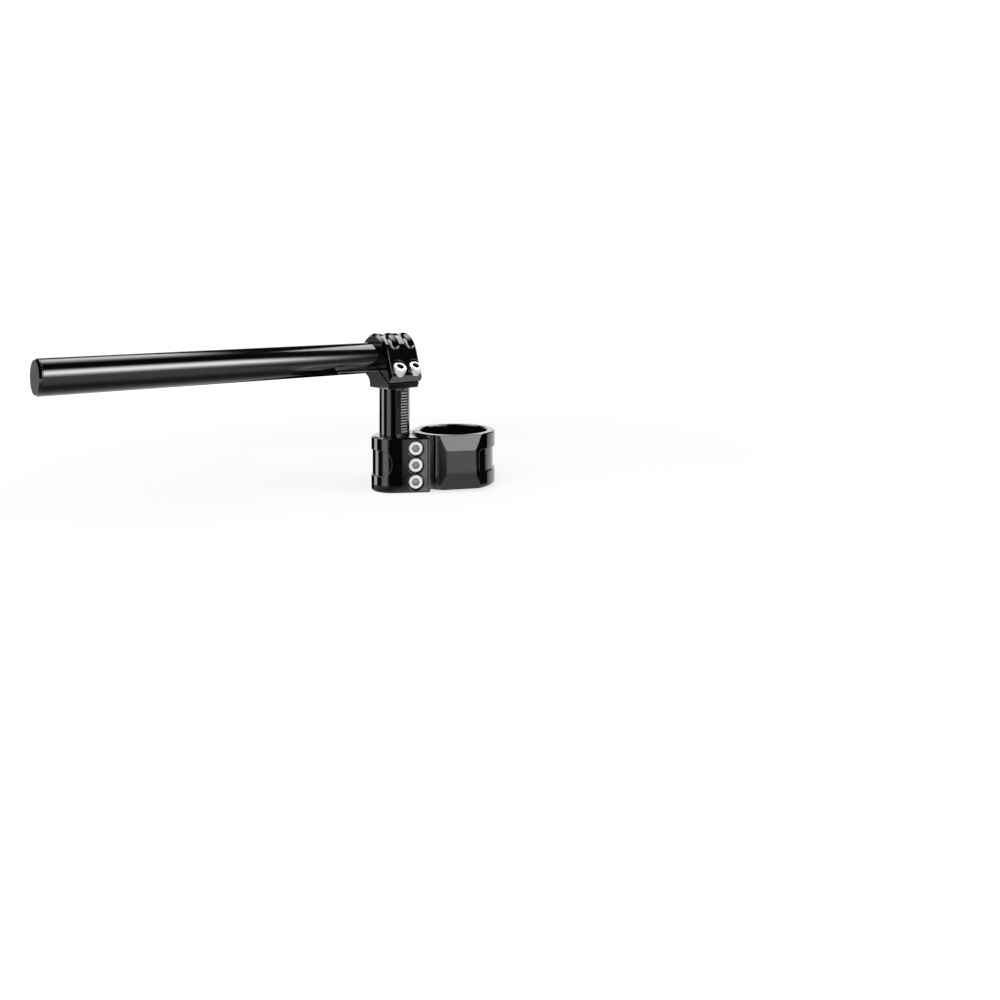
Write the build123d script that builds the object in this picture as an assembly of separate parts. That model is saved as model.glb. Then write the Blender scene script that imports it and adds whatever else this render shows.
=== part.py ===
from build123d import *
import math
import os

# Clip-on handlebar for the left side of a motorcycle, in millimetres.
# The Z axis is the fork tube's axis and z = 0 is the middle of the clamp's bolted boss.
# The riser post stands on the -X side, and the clamp bolts are turned in from the -Y side.

# Tubes that the part grips or carries
fork_bore_d = 50.0
post_d = 22.0
bar_d = 22.2
bar_bore_d = 15.0
bar_length = 253.2

# Fork clamp
axis_gap = 44.4
boss_height = 39.4
ring_height = 39.1
ring_rise = 1.9
ring_wall = 5.75
lobe_wall = 5.75
flare_angle = 10.0
boss_chamfer = 1.0
scallop_radius = 8.0
scallop_start = 20.2
scallop_end_angle = 34.0
ring_top_chamfer = 0.7
ring_base_chamfer = 1.3
bore_chamfer = 0.8
pinch_slot = 2.0
pad_cut = 1.8
pad_flat_height = 16.6
pad_lean = 12.0
pad_turn = 3.0
ring_pocket_depth = 1.5
ring_pocket_height = 16.6
ring_pocket_half_angle = 67.0
ring_pocket_radius = 3.0
lobe_pocket_depth = 0.9
lobe_pocket_height = 18.4
lobe_pocket_rise = 0.9
lobe_pocket_half_angle = 73.0
lobe_pocket_radius = 8.0

# Socket head bolts
bolt_d = 6.0
head_d = 10.0
head_height = 6.0
head_edge = 0.5
socket_across_flats = 5.0
socket_depth = 3.0
hole_clearance = 0.2
thread_clearance = 0.02
tip_room = 0.4
clamp_bolt_length = 25.0
clamp_bolt_edge = 7.7
clamp_bolt_x = 15.2
counterbore_clearance = 0.85
head_below_face = 0.4
bar_bolt_length = 10.0
bar_bolt_pitch = 13.5
bar_bolt_shift = 1.5
bar_bolt_room = 0.4
bar_bolt_offset = 21.5

# Riser: post and bar clamp in one piece
bar_height = 76.4
bar_sweep = 23.0
bar_setback = 7.0
post_engagement = 39.0
post_chamfer = 1.0
base_drop = 21.6
base_depth = 26.4
base_front = 20.6
barrel_wall = 6.4
barrel_length = 28.6
barrel_chamfer = 2.0
face_lean = 20.0
chin_drop = 12.2
chin_height = 4.7
chin_set_in = 1.2
inner_taper = 3.2
rear_radius = 5.0
split_angle = 35.0
split_offset = 2.2
split_width = 1.4
lip_seat = 2.4
groove_radius = 5.0
groove_depth = 2.6
groove_front_angle = 35.0
groove_rear_angle = 116.0
scale_flat_depth = 1.2
scale_flat_length = 31.6
scale_flat_top_gap = 1.8

# Bar end plug
plug_head = 2.0
plug_shank = 18.0
plug_chamfer_radial = 0.95
plug_chamfer_axial = 1.5

# Fits
slide_clearance = 0.05
press_clearance = 0.02

# How far a cutter runs past what it cuts, and how close two places count as one
past = 5.0
near = 0.01

# Values worked out from the sizes above
fork_r = fork_bore_d / 2
post_r = post_d / 2
bar_r = bar_d / 2
ring_r = fork_r + ring_wall
lobe_r = post_r + lobe_wall
boss_top = boss_height / 2
boss_low = -boss_height / 2
ring_top = boss_top + ring_rise
ring_low = ring_top - ring_height
ring_mid = (ring_top + ring_low) / 2
barrel_r = bar_r + barrel_wall
counterbore_r = head_d / 2 + counterbore_clearance
hole_r = bolt_d / 2 + hole_clearance
thread_r = bolt_d / 2 + thread_clearance
base_z = bar_height - base_drop
flare = math.radians(flare_angle)
sweep = math.radians(bar_sweep)
split = math.radians(split_angle)

# Directions: where the boss's front face looks, how a clamp bolt goes in, where the bar
# points and where the bar clamp's bolted face looks
face_out = Vector(-math.sin(flare), -math.cos(flare), 0)
bolt_in = -face_out
bar_out = Vector(-math.cos(sweep), -math.sin(sweep), 0)
clamp_front = Vector(math.sin(sweep), -math.cos(sweep), 0)
up = Vector(0, 0, 1)

post_axis = Vector(-axis_gap, 0, 0)
bar_axis = post_axis - clamp_front * bar_setback + up * bar_height
outer_bolt_height = boss_top - clamp_bolt_edge
clamp_bolt_heights = {"upper": outer_bolt_height, "middle": 0.0, "lower": -outer_bolt_height}
outer_bolt_place = bar_bolt_pitch / 2 - bar_bolt_shift
bar_bolt_places = {"outer": outer_bolt_place, "inner": outer_bolt_place - bar_bolt_pitch}

# The bar clamp's section: u runs to its front, w runs up, and the bar's axis is at 0, 0
section_plane = Plane(origin=bar_axis, x_dir=clamp_front, z_dir=bar_out)
split_along = Vector(math.cos(split), -math.sin(split), 0)
split_across = Vector(math.sin(split), math.cos(split), 0)


def upright(radius, low, high, centre=Vector(0, 0, 0)):
    """A round column about a vertical axis through centre."""
    disc = Plane(origin=Vector(centre.X, centre.Y, low)) * Circle(radius)
    return extrude(disc, high - low)


def rod(radius, start, direction, length):
    """A round bar from start, along direction."""
    return extrude(Plane(origin=start, z_dir=direction) * Circle(radius), length)


def band_pocket(inner_r, outer_r, height, half_angle, end_radius):
    """A wide groove round the Z axis, centred on +X, with rounded ends."""
    start = Plane.XZ.rotated((0, 0, -half_angle))
    section = start * Pos((inner_r + outer_r) / 2, 0) * Rectangle(outer_r - inner_r, height)
    band = revolve(section, Axis.Z, 2 * half_angle)
    corners = [e for e in band.edges().filter_by(GeomType.LINE) if abs(e.tangent_at(0).Z) < near]
    return fillet(corners, end_radius)


def socket_bolt(length):
    """A hexagon socket bolt on the Z axis, seated at z = 0 with its head upwards."""
    head = upright(head_d / 2, 0, head_height)
    rim = head.edges().filter_by(GeomType.CIRCLE).sort_by(Axis.Z)[-1]
    head = chamfer(rim, head_edge)
    corner_r = socket_across_flats / math.sqrt(3)
    socket_floor = Pos(0, 0, head_height - socket_depth)
    socket = extrude(socket_floor * RegularPolygon(corner_r, 6), socket_depth + past)
    shank = upright(bolt_d / 2, -length, 0)
    return head + shank - socket


def clamp_bolt_seat(height):
    """Where a clamp bolt's head sits, at the floor of its counterbore."""
    on_middle = post_axis + Vector(clamp_bolt_x, 0, height)
    to_face = lobe_r - (on_middle - post_axis).dot(face_out)
    return on_middle + face_out * (to_face - head_below_face - head_height)


def section_point(u, w, along=0.0):
    """A point of the bar clamp's section, at a place along the bar."""
    return bar_axis + clamp_front * u + up * w + bar_out * along


def bar_bolt_axis():
    """The direction in which a bar clamp bolt's head looks, square to the split."""
    return clamp_front * split_across.X + up * split_across.Y


def bar_bolt_seat(along):
    """Where a bar clamp bolt's head sits on the clamp's lip."""
    seat = split_along * bar_bolt_offset + split_across * lip_seat
    return section_point(seat.X, seat.Y, along)


def boss_face_point(reach):
    """Where the boss's front face is, in plan, at a distance from the post towards the fork."""
    return post_axis + Vector(reach, -(lobe_r + reach * math.sin(flare)) / math.cos(flare), 0)


def boss_outline():
    """Plan of the post's lobe and the two flared faces that run into the ring."""
    touch = post_axis + face_out * lobe_r
    root = boss_face_point(axis_gap / 2)
    flanks = Polyline(
        (touch.X, touch.Y),
        (root.X, root.Y),
        (root.X, -root.Y),
        (touch.X, -touch.Y),
        close=True,
    )
    return make_face(flanks) + Pos(-axis_gap, 0) * Circle(lobe_r)


def scallop_centre():
    """Axis of the round cutter that hollows the corner between the boss's face and the ring."""
    angle = math.radians(scallop_end_angle)
    start = boss_face_point(scallop_start)
    end = Vector(-math.sin(angle), -math.cos(angle), 0) * ring_r
    chord = end - start
    outwards = Vector(chord.Y, -chord.X, 0).normalized()
    return (start + end) / 2 + outwards * math.sqrt(scallop_radius**2 - (chord.length / 2) ** 2)


def make_fork_clamp():
    """One machined clamp: the fork's ring, the post's lobe and the bolted boss between them."""
    boss = extrude(Pos(0, 0, boss_low) * boss_outline(), boss_height)
    rims = boss.faces().sort_by(Axis.Z)
    boss = chamfer(rims[0].edges() + rims[-1].edges(), boss_chamfer)
    ring = upright(ring_r, ring_low, ring_top)
    ring_edges = ring.edges().filter_by(GeomType.CIRCLE).sort_by(Axis.Z)
    ring = chamfer(ring_edges[-1], ring_top_chamfer)
    ring_edges = ring.edges().filter_by(GeomType.CIRCLE).sort_by(Axis.Z)
    ring = chamfer(ring_edges[0], ring_base_chamfer)
    ring -= front_pad_cut()
    ring_band = band_pocket(
        ring_r - ring_pocket_depth,
        ring_r + past,
        ring_pocket_height,
        ring_pocket_half_angle,
        ring_pocket_radius,
    )
    ring -= Pos(0, 0, ring_mid) * ring_band
    lobe_band = band_pocket(
        lobe_r - lobe_pocket_depth,
        lobe_r + past,
        lobe_pocket_height,
        lobe_pocket_half_angle,
        lobe_pocket_radius,
    )
    boss -= Pos(-axis_gap, 0, lobe_pocket_rise) * Rot(0, 0, 180) * lobe_band
    clamp = boss + ring

    low = boss_low - past
    high = ring_top + past
    hollow = scallop_centre()
    for side in (-1, 1):
        clamp -= upright(scallop_radius, low, high, Vector(hollow.X, side * hollow.Y, 0))
    clamp -= upright(fork_r, low, high)
    clamp -= upright(post_r + slide_clearance, low, high, post_axis)
    for top, centre, radius in ((ring_top, Vector(0, 0, 0), fork_r), (boss_top, post_axis, post_r)):
        clamp -= Pos(centre.X, centre.Y, top) * countersink(radius, bore_chamfer)
    clamp -= Pos(0, 0, ring_low) * Rot(180, 0, 0) * countersink(fork_r, bore_chamfer)
    slot_start = post_r - axis_gap - past
    slot_end = past - fork_r
    slot_centre = ((slot_start + slot_end) / 2, 0, (low + high) / 2)
    clamp -= Pos(*slot_centre) * Box(slot_end - slot_start, pinch_slot, high - low)
    for height in clamp_bolt_heights.values():
        seat = clamp_bolt_seat(height)
        clamp -= rod(counterbore_r, seat, face_out, head_height + head_below_face + past)
        to_slot = -seat.Y / bolt_in.Y
        clamp -= rod(hole_r, seat, bolt_in, to_slot)
        clamp -= rod(thread_r, seat, bolt_in, clamp_bolt_length + tip_room)
    return clamp


def countersink(radius, size):
    """A cone that breaks a bore's upper edge at z = 0."""
    cone = Cone(radius - past, radius + size + past, size + 2 * past)
    return Pos(0, 0, -size / 2) * cone


def front_pad_cut():
    """What three flat cuts take off the ring's front: an upright flat between two leaning ones."""
    flat_y = pad_cut - ring_r
    outside_y = -ring_r - past
    half_flat = pad_flat_height / 2
    half_high = ring_height / 2 + past
    lean_y = flat_y + (half_high - half_flat) * math.tan(math.radians(pad_lean))
    outline = Polyline(
        (flat_y, -half_flat),
        (flat_y, half_flat),
        (lean_y, half_high),
        (outside_y, half_high),
        (outside_y, -half_high),
        (lean_y, -half_high),
        close=True,
    )
    half_width = math.sqrt(ring_r**2 - lean_y**2)
    profile = Plane.YZ.offset(-half_width) * make_face(outline)
    return Pos(0, 0, ring_mid) * Rot(0, 0, -pad_turn) * extrude(profile, 2 * half_width)


def bar_clamp_section():
    """Section of the bar clamp, square to the bar: barrel, bolted face, chin and base."""
    lean = math.radians(face_lean)
    touch = (barrel_r * math.cos(lean), barrel_r * math.sin(lean))
    chin_u = touch[0] + (touch[1] + chin_drop) * math.tan(lean)
    base_rear = base_front - base_depth
    body = Polyline(
        touch,
        (chin_u, -chin_drop),
        (chin_u - chin_set_in, -chin_drop - chin_height),
        (base_front, -chin_drop - chin_height - chin_set_in),
        (base_front, -base_drop),
        (base_rear, -base_drop),
        (base_rear, 0),
        close=True,
    )
    outline = make_face(body) + Circle(barrel_r)
    rear_corners = outline.vertices().filter_by_position(Axis.X, base_rear - near, base_rear + near)
    under_barrel = rear_corners.sort_by(Axis.Y)[-1]
    return fillet(under_barrel, rear_radius)


def groove_cutter():
    """A ball-nosed cutter's way across the barrel's crown, with a round end at the front and rear."""
    path_r = barrel_r - groove_depth + groove_radius
    start = Plane.XZ.rotated((0, 0, groove_front_angle))
    section = start * Pos(path_r, 0) * Circle(groove_radius)
    cutter = revolve(section, Axis.Z, groove_rear_angle - groove_front_angle)
    nose = Sphere(groove_radius, 0, 90, align=None)
    for angle, way in ((groove_front_angle, -1), (groove_rear_angle, 1)):
        turn = math.radians(angle)
        place = Vector(math.cos(turn), math.sin(turn), 0) * path_r
        onward = Vector(-math.sin(turn), math.cos(turn), 0) * way
        cutter += Plane(origin=place, z_dir=onward) * nose
    return cutter


def make_riser():
    """Post and bar clamp in one piece, with a slanted split and a flat for the scale."""
    half = barrel_length / 2
    body = extrude(Pos(0, 0, -half) * bar_clamp_section(), barrel_length)
    end_edges = [e for e in body.edges() if abs(abs(e.center().Z) - half) < near]
    crown = [e for e in end_edges if e.center().Y > -chin_drop and e.center().X > 0]
    body = chamfer(crown, barrel_chamfer)
    for along in bar_bolt_places.values():
        body -= Pos(0, 0, along) * groove_cutter()
    taper = Polyline(
        (-half, -chin_drop),
        (inner_taper - half, -base_drop),
        (-half, -base_drop),
        close=True,
    )
    taper_plane = Plane(origin=(2 * base_front, 0, 0), x_dir=(0, 0, 1), z_dir=(-1, 0, 0))
    body -= extrude(taper_plane * make_face(taper), base_front + base_depth + past)
    split_reach = base_front + base_drop
    split_turn = Pos(0, -split_offset / math.cos(split)) * Rot(0, 0, -split_angle)
    split_slot = split_turn * Pos(split_reach / 2, 0) * Rectangle(split_reach, split_width)
    for opening in (Circle(bar_r + slide_clearance), split_slot):
        body -= extrude(Pos(0, 0, -half - past) * opening, barrel_length + 2 * past)
    riser = section_plane * body

    post_low = boss_top - post_engagement
    post = upright(post_r, post_low, base_z + past, post_axis)
    foot = post.edges().filter_by(GeomType.CIRCLE).sort_by(Axis.Z)[0]
    post = chamfer(foot, post_chamfer)
    flat_mid = base_z - scale_flat_top_gap - scale_flat_length / 2
    flat_origin = post_axis + clamp_front * (post_r - scale_flat_depth) + up * flat_mid
    flat_plane = Plane(origin=flat_origin, x_dir=bar_out, z_dir=clamp_front)
    post -= extrude(flat_plane * Rectangle(post_d, scale_flat_length), past)
    riser += post
    looking = bar_bolt_axis()
    for along in bar_bolt_places.values():
        seat = bar_bolt_seat(along)
        to_split = lip_seat + split_offset
        riser -= rod(head_d / 2 + bar_bolt_room, seat, looking, head_height + past)
        riser -= rod(hole_r, seat, -looking, to_split)
        riser -= rod(thread_r, seat, -looking, bar_bolt_length + tip_room)
    return riser


def make_handlebar():
    """Straight tube that starts flush with the clamp's inner face."""
    start = bar_axis - bar_out * (barrel_length / 2)
    tube = rod(bar_r, start, bar_out, bar_length)
    return tube - rod(bar_bore_d / 2, start - bar_out * past, bar_out, bar_length + 2 * past)


def make_bar_end_plug():
    """Turned plug that closes the tube's outer end with a chamfered head."""
    seat = bar_axis + bar_out * (bar_length - barrel_length / 2)
    head = upright(bar_r, 0, plug_head)
    rim = head.edges().filter_by(GeomType.CIRCLE).sort_by(Axis.Z)[-1]
    outer_face = head.faces().sort_by(Axis.Z)[-1]
    head = chamfer(rim, plug_chamfer_radial, plug_chamfer_axial, reference=outer_face)
    shank = upright(bar_bore_d / 2 - press_clearance, -plug_shank, 0)
    return Plane(origin=seat, z_dir=bar_out) * (head + shank)


def make_parts():
    """Every piece of the handlebar, by name, in place."""
    pieces = {"fork_clamp": make_fork_clamp()}
    for name, height in clamp_bolt_heights.items():
        place = Plane(origin=clamp_bolt_seat(height), z_dir=face_out)
        pieces["clamp_bolt_" + name] = place * socket_bolt(clamp_bolt_length)
    pieces["riser"] = make_riser()
    for name, along in bar_bolt_places.items():
        place = Plane(origin=bar_bolt_seat(along), z_dir=bar_bolt_axis())
        pieces["bar_bolt_" + name] = place * socket_bolt(bar_bolt_length)
    pieces["handlebar"] = make_handlebar()
    pieces["bar_end_plug"] = make_bar_end_plug()
    return pieces


os.makedirs("parts", exist_ok=True)
for node, shape in make_parts().items():
    solids = shape.solids()
    export_step(solids[0] if len(solids) == 1 else shape, f"parts/{node}.step")
    print(node, len(solids), "solid", round(shape.volume / 1000, 2), "cm3")
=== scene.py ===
# %% [markdown]
# A clip-on handlebar, dressed in Blender. The solids come from CAD and stay as they are:
# this lesson gives them their finishes, adds the pale scale on the riser post, and sets up
# the camera, the floor and the light. Everything is in metres, in the CAD model's own frame:
# +Z runs up the fork tube, and the bolt heads of the clamp look to -Y.

# %% Load the CAD frame
import bpy
import math
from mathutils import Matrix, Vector


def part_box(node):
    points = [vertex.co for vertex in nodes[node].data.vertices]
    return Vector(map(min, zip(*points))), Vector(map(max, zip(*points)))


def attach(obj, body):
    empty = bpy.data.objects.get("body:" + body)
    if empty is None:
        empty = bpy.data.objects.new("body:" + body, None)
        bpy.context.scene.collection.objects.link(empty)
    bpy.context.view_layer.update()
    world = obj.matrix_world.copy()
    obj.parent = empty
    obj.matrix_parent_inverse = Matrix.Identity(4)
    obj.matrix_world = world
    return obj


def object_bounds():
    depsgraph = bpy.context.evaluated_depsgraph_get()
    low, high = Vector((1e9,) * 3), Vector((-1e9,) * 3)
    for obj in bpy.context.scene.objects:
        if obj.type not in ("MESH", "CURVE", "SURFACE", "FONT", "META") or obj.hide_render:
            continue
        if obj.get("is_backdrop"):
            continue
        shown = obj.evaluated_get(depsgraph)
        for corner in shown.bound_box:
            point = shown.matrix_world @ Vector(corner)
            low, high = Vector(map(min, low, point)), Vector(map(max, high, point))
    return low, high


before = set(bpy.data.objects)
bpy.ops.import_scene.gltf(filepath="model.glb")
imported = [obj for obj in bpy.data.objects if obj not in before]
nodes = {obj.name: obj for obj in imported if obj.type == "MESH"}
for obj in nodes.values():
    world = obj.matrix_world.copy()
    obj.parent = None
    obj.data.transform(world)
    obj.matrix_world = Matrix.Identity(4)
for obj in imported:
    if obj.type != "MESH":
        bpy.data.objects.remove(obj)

cad_low, cad_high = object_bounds()
scene = bpy.context.scene
print("CAD nodes:", sorted(nodes))

# %% [markdown]
# The camera stands level, a little higher than the bar, and looks 17 degrees to the right of
# straight ahead. It could be tilted down at the part, but then upright edges would lean. A level
# camera keeps them upright, as a product photographer's does, and the lens shift lowers the view
# instead.

# %% Camera
camera_place = (-0.1706, -0.6766, 0.1302)
camera_turn = math.radians(-17)
lens_mm = 33.66
lens_shift_down = 0.2165

camera_data = bpy.data.cameras.new("camera")
camera_data.lens = lens_mm
camera_data.sensor_width = 36
camera_data.shift_y = -lens_shift_down
camera = bpy.data.objects.new("camera", camera_data)
camera.location = camera_place
camera.rotation_euler = (math.radians(90), 0, camera_turn)
scene.collection.objects.link(camera)
scene.camera = camera
scene.view_settings.view_transform = "Standard"
print("camera at", camera_place)

# %% [markdown]
# Node trees get long, so three small helpers keep the cells short. One empties a tree and gives
# back a function that adds a node, with its sockets set or linked by name. The next starts a new
# material with such a tree, and the last one paints CAD pieces with a material.


# %% Helpers for materials
def start_tree(tree):
    """Empty a node tree and return a function that adds nodes to it."""
    tree.nodes.clear()

    def add(kind, settings=None, **sockets):
        node = tree.nodes.new(kind)
        for name, value in (settings or {}).items():
            setattr(node, name, value)
        for name, value in sockets.items():
            key = int(name[1:]) if name[1:].isdigit() else name.replace("_", " ")
            if isinstance(value, bpy.types.NodeSocket):
                tree.links.new(value, node.inputs[key])
            else:
                node.inputs[key].default_value = value
        return node

    return add


def start_material(name):
    """A new material and the function that adds nodes to its tree."""
    material = bpy.data.materials.new(name)
    material.use_nodes = True
    return material, start_tree(material.node_tree)


def paint(names, material):
    """Give the named CAD nodes one material."""
    for name in names:
        nodes[name].data.materials.clear()
        nodes[name].data.materials.append(material)
    print(material.name, "on", ", ".join(names))


# %% [markdown]
# The background is plain white. Rays from the camera, and those that glossy metal sends on,
# meet a white of strength 1, while every other ray finds a softer sky that only fills the shade.
# One sky for all rays would be simpler, but it would flood the object from every side.


# %% World
def add_seen(add):
    """A node that gives 1 for rays that show a picture: camera, glossy and transmission rays."""
    path = add("ShaderNodeLightPath")
    camera_ray, glossy_ray = path.outputs["Is Camera Ray"], path.outputs["Is Glossy Ray"]
    either = add("ShaderNodeMath", {"operation": "MAXIMUM"}, _0=camera_ray, _1=glossy_ray)
    passed = path.outputs["Is Transmission Ray"]
    return add("ShaderNodeMath", {"operation": "MAXIMUM"}, _0=either.outputs[0], _1=passed).outputs[0]


sky_fill = 0.34
world = bpy.data.worlds.new("white studio")
scene.world = world
world.use_nodes = True
add = start_tree(world.node_tree)
level = add("ShaderNodeMapRange", Value=add_seen(add), To_Min=sky_fill, To_Max=1.0)
background = add("ShaderNodeBackground", Color=(1, 1, 1, 1), Strength=level.outputs[0])
add("ShaderNodeOutputWorld", Surface=background.outputs[0])
print("world: white for the eye,", sky_fill, "as fill light")

# %% [markdown]
# The floor is a wide white sheet just under the clamp. Far off, both the floor and the background
# reach full white, so no horizon shows. Near the object a share of the floor is ordinary matt
# white, which keeps the soft shadow where the clamp stands. A floor that is all matt would look
# grey beside the background, so the rest of it glows, a little above 1 to make up for the darker
# matt share.

# %% Floor
floor_drop = 0.0002
floor_half = 6.0
floor_glow = 1.15
shadow_share = 0.35
shadow_start, shadow_end = 0.25, 0.7


def sheet_object(name, points, faces):
    """A mesh object made of the given points and faces."""
    mesh = bpy.data.meshes.new(name)
    mesh.from_pydata([tuple(p) for p in points], [], faces)
    sheet = bpy.data.objects.new(name, mesh)
    scene.collection.objects.link(sheet)
    return sheet


def white_floor_paint():
    """White to the eye and in reflections, and matt white to the light and near the object."""
    material, add = start_material("white floor")
    place = add("ShaderNodeNewGeometry").outputs["Position"]
    away = add("ShaderNodeVectorMath", {"operation": "LENGTH"}, Vector=place).outputs["Value"]
    matt_share = add("ShaderNodeMapRange", {"interpolation_type": "SMOOTHSTEP"}, Value=away,
                     From_Min=shadow_start, From_Max=shadow_end, To_Min=1.0 - shadow_share, To_Max=1.0)
    share = add("ShaderNodeMath", {"operation": "MULTIPLY"}, _0=add_seen(add), _1=matt_share.outputs[0])
    matt = add("ShaderNodeBsdfDiffuse", Color=(1, 1, 1, 1))
    white = add("ShaderNodeEmission", Color=(1, 1, 1, 1), Strength=floor_glow)
    mix = add("ShaderNodeMixShader", Fac=share.outputs[0], _1=matt.outputs[0], _2=white.outputs[0])
    add("ShaderNodeOutputMaterial", Surface=mix.outputs[0])
    return material


floor_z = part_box("fork_clamp")[0].z - floor_drop
square = ((-1, -1), (1, -1), (1, 1), (-1, 1))
floor_corners = [(x * floor_half, y * floor_half, floor_z) for x, y in square]
floor = sheet_object("floor", floor_corners, [(0, 1, 2, 3)])
floor.data.materials.append(white_floor_paint())
floor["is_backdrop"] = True
print("floor at", round(floor_z * 1000, 2), "mm")

# %% [markdown]
# One large soft lamp from the upper left and one weaker lamp from the right give the plain
# light. Gloss black metal hardly shows lamps, though: it shows what stands round it. So the
# lamps stay out of its reflections, and the next cells put cards there instead.

# %% Lamps
lamps = {
    "soft lamp left": ((-0.7, -0.9, 0.9), 1.2, 9.5),
    "soft lamp right": ((0.9, -0.7, 0.7), 1.0, 5.5),
}
for name, (place, size, power) in lamps.items():
    lamp_data = bpy.data.lights.new(name, "AREA")
    lamp_data.size = size
    lamp_data.energy = power
    lamp = bpy.data.objects.new(name, lamp_data)
    lamp.location = place
    lamp.rotation_euler = (-Vector(place)).to_track_quat("-Z", "Y").to_euler()
    lamp.visible_glossy = False
    scene.collection.objects.link(lamp)
print("lamps:", list(lamps))

# %% [markdown]
# A photographer puts black and white cards round a gloss black product, because its shape only
# shows where a bright card's reflection meets a dark one's. Lamps with a face of their own could
# do this too, but they would light the floor as well. Each card here is a sheet through rows of
# points, and only reflections see it: it lights nothing and throws no shadow. Its edges may be
# soft, like those of a lit cloth that hangs in folds.


# %% Cards that only reflections see
def soft_edge(add, value, fade):
    """A node that rises from 0 to 1 over the first fade of a 0 to 1 value and falls over the last."""
    falling = add("ShaderNodeMath", {"operation": "SUBTRACT"}, _0=1.0, _1=value).outputs[0]
    nearer = add("ShaderNodeMath", {"operation": "MINIMUM"}, _0=value, _1=falling).outputs[0]
    smooth = {"interpolation_type": "SMOOTHSTEP"}
    return add("ShaderNodeMapRange", smooth, Value=nearer, From_Max=max(fade, 0.001)).outputs[0]


def card_paint(name, strength, fade_along, fade_across):
    """A glow of a strength, black at 0, that thins out to nothing at soft edges."""
    material, add = start_material(name)
    spot = add("ShaderNodeUVMap")
    split = add("ShaderNodeSeparateXYZ", Vector=spot.outputs[0])
    along = soft_edge(add, split.outputs["X"], fade_along)
    across = soft_edge(add, split.outputs["Y"], fade_across)
    cover = add("ShaderNodeMath", {"operation": "MULTIPLY"}, _0=along, _1=across)
    glow = add("ShaderNodeEmission", Color=(1, 1, 1, 1), Strength=strength)
    clear = add("ShaderNodeBsdfTransparent")
    mix = add("ShaderNodeMixShader", Fac=cover.outputs[0], _1=clear.outputs[0], _2=glow.outputs[0])
    add("ShaderNodeOutputMaterial", Surface=mix.outputs[0])
    return material


def card(name, rows, strength, fade_along=0.0, fade_across=0.0):
    """A sheet through rows of points, seen in reflections only."""
    count, last = len(rows[0]), len(rows) - 1
    faces = []
    for r in range(last):
        for i in range(r * count, (r + 1) * count - 1):
            faces.append((i, i + 1, i + 1 + count, i + count))
    sheet = sheet_object(name, [point for row in rows for point in row], faces)
    spots = [(i / (count - 1), r / last) for r in range(last + 1) for i in range(count)]
    layer = sheet.data.uv_layers.new()
    for loop in sheet.data.loops:
        layer.data[loop.index].uv = spots[loop.vertex_index]
    sheet.data.materials.append(card_paint(name, strength, fade_along, fade_across))
    for kind in ("camera", "diffuse", "transmission", "volume_scatter", "shadow"):
        setattr(sheet, "visible_" + kind, False)
    sheet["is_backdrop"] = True


# %% [markdown]
# A round wall mirrors the camera's sight lines outwards like a fan. A card whose ends follow two
# of these lines shows as an upright stripe on the wall. The clamp's cards could be pushed about
# until their stripes fit, but the lines say at once where each one stands. Directions are degrees
# to the left of -Y, seen from above. A wall is given by its centre, its radius and the direction
# in which the camera stands.


# %% Sight lines off a round wall
def left_of_front(degrees, reach, centre, height):
    """A point that lies at an angle to the left of -Y, seen from a centre."""
    a = math.radians(degrees)
    return (centre[0] - math.sin(a) * reach, centre[1] - math.cos(a) * reach, height)


def arc(start, end, reach, centre, height, steps=12):
    """Points on a level arc round a centre."""
    turns = [start + (end - start) * i / steps for i in range(steps + 1)]
    return [left_of_front(a, reach, centre, height) for a in turns]


def mirrored_row(wall, start, end, reach, height, steps=12):
    """Points at a reach from a round wall, along the sight lines that it mirrors."""
    centre, radius, camera_side = wall
    row = []
    for i in range(steps + 1):
        turn = start + (end - start) * i / steps
        spot = left_of_front((turn + camera_side) / 2, radius, centre, height)
        row.append(left_of_front(turn, reach, spot, height))
    return row


post_wall = ((-0.0444, 0), 0.0168, 10.6)
ring_wall = ((0, 0), 0.0308, 14.1)
print("round walls with radii of", post_wall[1], "m (lobe round the post) and", ring_wall[1], "m (ring)")

# %% [markdown]
# Behind the clamp two fans lie on the floor, a black one and a bright one. The other stripes come
# from low cards that stand round the post and the ring like a fence. Those could lie flat as well,
# but the bar looks down on the floor and would show them. For the same reason the post's fence has
# a black back.

# %% Fans and fences
card_height = floor_z + 0.0001
fan_start = 0.001
fans = [
    ("black rear left", post_wall, (131, 200), 0.7, 0.0, 0.0),
    ("bright rear right", ring_wall, (-155, -92), 0.6, 1.3, 0.3),
]
for name, wall, (start, end), far, strength, fade in fans:
    edges = [mirrored_row(wall, start, end, reach, card_height) for reach in (fan_start, far)]
    card(name, edges, strength, fade)

fence_reach, back_reach = 0.0235, 0.0242
post_top, ring_top = 0.052, 0.02
fences = [
    ("bright rear left", post_wall, (105, 133), fence_reach, post_top, 3.4, 0.2),
    ("black left", post_wall, (83, 105), fence_reach, post_top, 0.0, 0.0),
    ("bright fence", post_wall, (36, 84), fence_reach, post_top, 1.6, 0.35),
    ("black fence left", post_wall, (-1, 37), fence_reach, post_top, 0.0, 0.0),
    ("black back", post_wall, (36, 134), back_reach, post_top, 0.0, 0.0),
    ("black fence right", ring_wall, (-93, -52), fence_reach, ring_top, 0.0, 0.0),
]
for name, wall, (start, end), reach, top, strength, fade in fences:
    edges = [mirrored_row(wall, start, end, reach, height) for height in (floor_z, top)]
    card(name, edges, strength, fade)
print("fans:", len(fans), "fences:", len(fences))

# %% [markdown]
# A flat face mirrors one small patch, so each gets a card of its own: the pad on the ring, the
# plug in the bar's end, the riser's chin and base, the flat with the scale, and the boss beside
# the bolts. One large card would light them all alike, and the faces would run together. Some
# stand and some lie on the floor. The boss card does both: it lies before the boss and then bends
# up.

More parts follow.
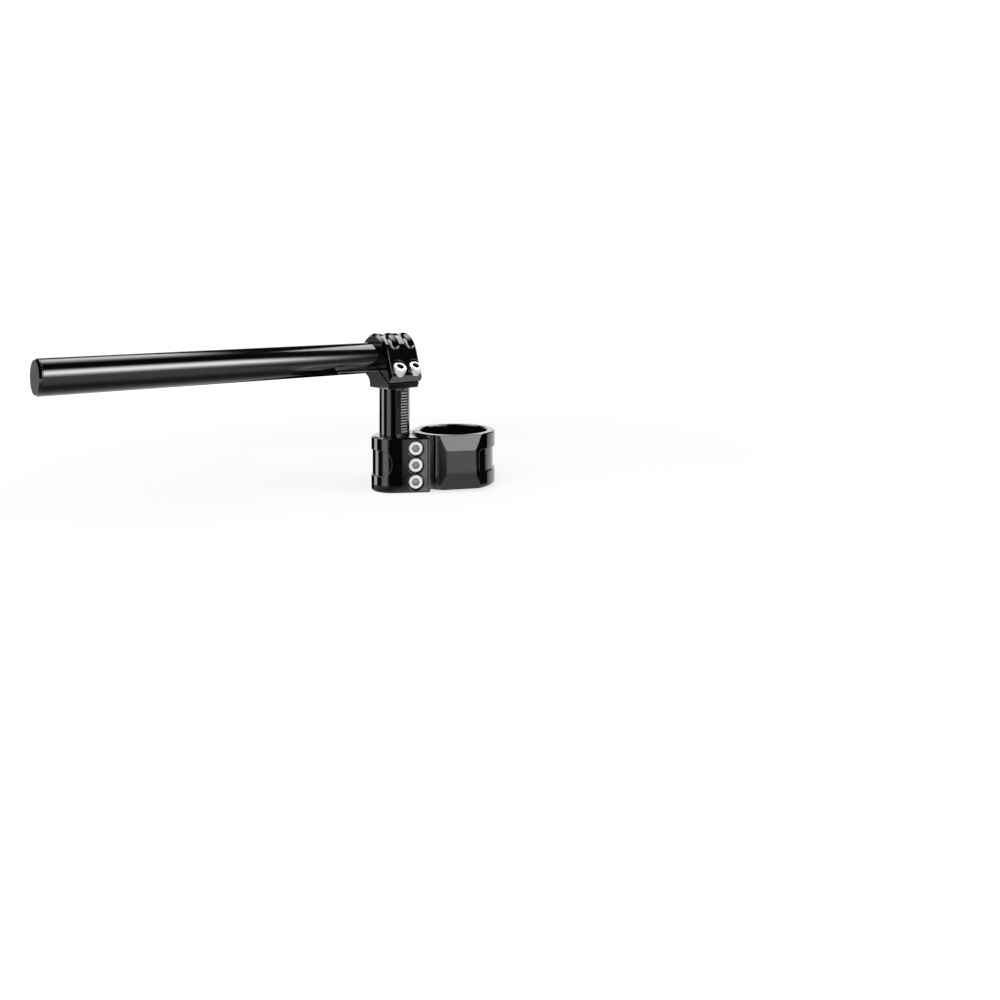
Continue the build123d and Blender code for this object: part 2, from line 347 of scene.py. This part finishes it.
# %% Cards for the flat faces
upright_cards = [
    ("pad card", (-0.012, -0.1), (0.045, -0.1), 0.018, 1.15),
    ("end card", (-0.8, 0.15), (-0.35, 0.6), 0.14, 0.33),
]
for name, left, right, top, strength in upright_cards:
    card(name, [[(*left, height), (*right, height)] for height in (floor_z, top)], strength)

laid_cards = [
    ("chin card", (0.055, 0.14), (-0.11, -0.05), 1.3),
    ("scale card", (0.16, 0.34), (-0.28, -0.12), 0.3),
]
for name, x_range, y_range, strength in laid_cards:
    card(name, [[(x, y, card_height) for x in x_range] for y in y_range], strength)

# The base card lies a hair lower than the scale card, which it runs under.
base_height = card_height - 0.00003
base_right = [(0.2, -0.06, base_height), (1.92, -1.08, base_height)]
base_left = [(0.045, -0.315, base_height), (1.76, -1.34, base_height)]
card("base card", [base_right, base_left], 0.03, 0.02, 0.43)

boss_near = [(-0.0305, -0.024, card_height), (-0.0235, -0.024, card_height)]
boss_far = [(-0.0375, -0.078, card_height), (-0.0295, -0.078, card_height)]
boss_top = [(-0.0375, -0.078, 0.02), (-0.0295, -0.078, 0.02)]
card("boss card", [boss_near, boss_far, boss_top], 2.0)
print("cards for flat faces:", len(upright_cards) + len(laid_cards) + 2)

# %% [markdown]
# The bar runs at a slant, so its cards need directions of their own. Places by the bar are given
# from where it passes the post: along it to the outer end, out to its front, and up. Each card
# could be turned into place instead, but a list of such places is easier to read.

# %% Places by the bar
bar_sweep = math.radians(23)
bar_along = Vector((-math.cos(bar_sweep), -math.sin(bar_sweep), 0))
bar_front = Vector((math.sin(bar_sweep), -math.cos(bar_sweep), 0))
bar_by_post = Vector((-0.047, 0.0064, 0.0764))


def by_bar(along, front, up):
    """A point by the bar's own directions, from where it passes the post."""
    return bar_by_post + bar_along * along + bar_front * front + Vector((0, 0, up))


def level_card(name, up, places, strength, fade_along, fade_across):
    """A level card by the bar, from places along it: (along, rear edge, front edge)."""
    rear = [by_bar(along, rear, up) for along, rear, front in places]
    front = [by_bar(along, front, up) for along, rear, front in places]
    card(name, [rear, front], strength, fade_along, fade_across)


print("the bar runs along", [round(part, 3) for part in bar_along])

# %% [markdown]
# The bar shows three long lights: two soft boxes hang over it, and a third stands low along its
# front and narrows beyond the riser. That one is curved, so that it keeps one distance to the bar
# from level to high up, which a flat box can't. Under the bar lie two dim sheets, one grey and one
# near black, which darken its belly. They are painted shade that only reflections see: the floor
# darker before the bar, and darkest in the bar's own shadow just under it.

# %% Cards round the bar
over_bar = 0.5
level_card("outer soft box", over_bar, [(0.45, -0.6, 0.08), (-0.12, -0.6, 0.08)], 4.8, 0.16, 0.5)
inner_box = [(-0.155, -0.05, 0.0), (-0.36, -0.36, 0.25), (-0.62, -0.36, 0.25)]
level_card("inner soft box", over_bar, inner_box, 5.0, 0.05, 0.12)

# The low box bends round the bar, from low_from degrees up to the height given at each place.
low_reach, low_steps = 1.1, 16
low_from = 2
low_places = [(0.25, 51), (-0.05, 51), (-0.36, 51), (-0.68, 31)]
low_box = []
for i in range(low_steps + 1):
    share = i / low_steps
    turns = [(along, math.radians(low_from + (high - low_from) * share)) for along, high in low_places]
    low_box.append([by_bar(along, low_reach * math.cos(a), low_reach * math.sin(a)) for along, a in turns])
card("low soft box", low_box, 11.5, 0.333, 0.5)

under_bar = card_height - bar_by_post.z
sheet_drop = 0.00005
# Painted shade that only reflections see: the floor darkened before the bar, and most in its shadow
# beneath it.
level_card("painted shade sheet", under_bar - sheet_drop, [(0.45, 0.0, 0.5), (-0.2, 0.0, 0.5)], 0.58, 0.05, 0.15)
level_card("painted shadow strip", under_bar, [(0.45, -0.08, 0.17), (0.0, -0.08, 0.17)], 0.12, 0.05, 0.5)
print("bar lights hang", over_bar, "m over it and stand", low_reach, "m before it")

# %% [markdown]
# A white card far in front shines on the pad's leaning top facet, and one behind lights the
# level tops. The rest of the room is black cloth, hung as a dome that is left open low at the
# back. A black world would do the same, but the background has to stay white.

# %% Cards in front and behind, and the dark room
middle = (0, 0)
front_card = [arc(-26, -5, 2.4, middle, height, 4) for height in (0.12, 0.88)]
card("front card", front_card, 3.7)
back_card = [arc(150, 215, 1.6, middle, height, 8) for height in (0.03, 0.75)]
card("back card", back_card, 1.5)


def dome(name, radius, left_range, height_range, steps=20):
    """Black cloth on a sphere, between two directions and two heights in degrees."""
    low, high = height_range
    turns = [math.radians(low + (high - low) * i / steps) for i in range(steps + 1)]
    card(name, [arc(*left_range, radius * math.cos(a), middle, radius * math.sin(a)) for a in turns], 0.0)


room_radius = 3.0
dome("dark front", room_radius, (-130, 130), (-2, 89))
dome("dark rear", room_radius, (130, 230), (27, 89))
print("dark room of", room_radius, "m")

# %% [markdown]
# Black anodised aluminium is a hard clear oxide over a dyed skin: black below, with a weak
# sharp reflection on top. The oxide bends light more than glass does, so its index is 1.7. On
# the machined clamp and riser it keeps a fine even grain; on the drawn bar the grain is drawn out
# along X, roughly the way the tube runs. An image could hold the grain, but noise has no seams:
# one noise breaks up the roughness and the dye, and a finer one makes a slight bump. The Bevel
# node rounds the edges' shading by about half a millimetre, as tumbling does.

# %% Anodised finish
oxide_index = 1.7
deep_dye, pale_dye = (0.0015, 0.0015, 0.0018, 1), (0.003, 0.003, 0.0034, 1)


def anodised(name, gloss, grain, edge_break, stretch=(1, 1, 1), turn=0.0):
    """Dyed oxide on aluminium: gloss is (least, most) roughness, grain is marks per metre."""
    material, add = start_material(name)
    place = add("ShaderNodeTexCoord").outputs["Object"]
    # The Mapping node scales before it turns, so the turn only picks another cut through the noise.
    turned = add("ShaderNodeMapping", Vector=place, Rotation=(0, 0, turn), Scale=stretch).outputs[0]
    cloud = add("ShaderNodeTexNoise", Vector=turned, Scale=grain / 12, Detail=3.0).outputs["Fac"]
    rough = add("ShaderNodeMapRange", Value=cloud, To_Min=gloss[0], To_Max=gloss[1])
    fine = add("ShaderNodeTexNoise", Vector=turned, Scale=grain, Detail=2.0)
    edge = add("ShaderNodeBevel", {"samples": 6}, Radius=edge_break)
    bump = add("ShaderNodeBump", Height=fine.outputs["Fac"], Strength=0.03, Distance=0.00002,
               Normal=edge.outputs[0])
    dye = add("ShaderNodeMix", {"data_type": "RGBA"}, Factor=cloud, A=deep_dye, B=pale_dye)
    skin = add("ShaderNodeBsdfPrincipled", Roughness=rough.outputs[0], IOR=oxide_index,
               Normal=bump.outputs[0], Base_Color=dye.outputs["Result"])
    add("ShaderNodeOutputMaterial", Surface=skin.outputs[0])
    return material


paint(["fork_clamp"], anodised("clamp black", (0.07, 0.11), 4000, 0.0008))
paint(["riser"], anodised("riser black", (0.07, 0.11), 4000, 0.0004))
tube_grain = {"stretch": (0.02, 1, 1), "turn": -bar_sweep}
paint(["handlebar", "bar_end_plug"], anodised("tube black", (0.09, 0.13), 3000, 0.0005, **tube_grain))

# %% [markdown]
# The bolts are bright zinc-plated steel. Plating is a metal, but its fine crystals scatter much
# of the light, so it is mixed from a metal and a pale matt part, with a faint mottling. The sockets
# and the gaps round the heads get painted shade: the Ambient Occlusion node finds how open a spot is
# within 8 mm, and closed spots are painted dark by degrees. A socket could get a dark material of
# its own instead. The clamp bolts face the lamps, so their copy gets lighter painted shade in the
# sockets than that of the bar bolts.

# %% Plated steel
socket_reach = 0.008


def plated_steel_painted_shade(name, closed, open_air):
    """Bright zinc plating with painted shade: dark at an openness of closed, fully pale at open_air."""
    material, add = start_material(name)
    place = add("ShaderNodeTexCoord").outputs["Object"]
    mottle = add("ShaderNodeTexNoise", Vector=place, Scale=900.0, Detail=3.0).outputs["Fac"]
    rough = add("ShaderNodeMapRange", Value=mottle, To_Min=0.3, To_Max=0.45)
    edge = add("ShaderNodeBevel", {"samples": 4}, Radius=0.0003)
    pale = add("ShaderNodeMapRange", Value=mottle, To_Min=0.78, To_Max=0.9).outputs[0]
    openness = add("ShaderNodeAmbientOcclusion", {"samples": 8}, Distance=socket_reach).outputs["AO"]
    # Painted shade: closed spots are darkened in the colour, where less light would reach them.
    tone = add("ShaderNodeMapRange", Value=openness, From_Min=closed, From_Max=open_air,
               To_Min=0.03, To_Max=pale)
    skin = add("ShaderNodeBsdfPrincipled", Roughness=rough.outputs[0], Metallic=0.2,
               Normal=edge.outputs[0], Base_Color=tone.outputs[0])
    add("ShaderNodeOutputMaterial", Surface=skin.outputs[0])
    return material


clamp_bolts = sorted(name for name in nodes if "clamp_bolt" in name)
bar_bolts = sorted(name for name in nodes if "bar_bolt" in name)
# Two copies with painted shade of different depth: lighter for the clamp bolts, darker for the bar bolts.
paint(clamp_bolts, plated_steel_painted_shade("clamp bolt zinc, light painted shade", 0.2, 0.5))
paint(bar_bolts, plated_steel_painted_shade("bar bolt zinc, deep painted shade", 0.55, 0.85))

# %% [markdown]
# The post has a height scale on its milled flat, with a mark every 2 mm. The marks could be drawn
# in the riser's material, but as slivers of boxes they keep sharp edges from close by. They stand
# a few hundredths of a millimetre proud, and all of them are one mesh that rides on the riser, so
# the scale sinks into the clamp together with the post.

# %% Scale marks
post_axis = Vector((-0.0444, 0, 0))
flat_out = 0.0098
mark_step, mark_count, mark_top = 0.002, 17, 0.0528
mark_left, mark_right = -0.0009, 0.0045
mark_height, mark_proud = 0.0009, 0.00003


def mark_corners(z):
    """The eight corners of one mark, sunk and proud of the flat by the same amount."""
    spots = []
    for out in (flat_out - mark_proud, flat_out + mark_proud):
        for across in (mark_left, mark_right):
            for rise in (-mark_height / 2, mark_height / 2):
                spots.append(post_axis + bar_front * out - bar_along * across + Vector((0, 0, z + rise)))
    return spots


box_faces = [(0, 1, 3, 2), (4, 6, 7, 5), (0, 4, 5, 1), (2, 3, 7, 6), (0, 2, 6, 4), (1, 5, 7, 3)]
mark_points, mark_faces = [], []
for step in range(mark_count):
    first = len(mark_points)
    mark_points += mark_corners(mark_top - step * mark_step)
    mark_faces += [tuple(first + i for i in face) for face in box_faces]
marks = sheet_object("scale_marks", mark_points, mark_faces)
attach(marks, "riser")
print("scale marks:", mark_count, "at", mark_step * 1000, "mm")

# %% [markdown]
# On the real post a laser burns the marks through the dyed oxide down to the bare metal. Smooth
# bare metal would mirror the dark room, but the laser leaves fine pits that scatter the light. So
# the marks are a matt grey, and a noise varies it a little.

# %% Lasered metal
material, add = start_material("lasered metal")
place = add("ShaderNodeTexCoord").outputs["Object"]
burn = add("ShaderNodeTexNoise", Vector=place, Scale=700.0, Detail=2.0).outputs["Fac"]
tone = add("ShaderNodeMapRange", Value=burn, From_Min=0.3, From_Max=0.7, To_Min=0.2, To_Max=0.42)
bare = add("ShaderNodeBsdfPrincipled", Base_Color=tone.outputs[0], Roughness=0.6)
add("ShaderNodeOutputMaterial", Surface=bare.outputs[0])
marks.data.materials.append(material)
print("lasered metal on", marks.name)

# %% [markdown]
# Last, the box round the dressed part is set beside the CAD's own box in one table. The marks stay
# inside it, so both are the same.

# %% Size of the CAD and of the dressed part
size = {"cad": [list(cad_low), list(cad_high)], "scene": [list(corner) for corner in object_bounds()]}
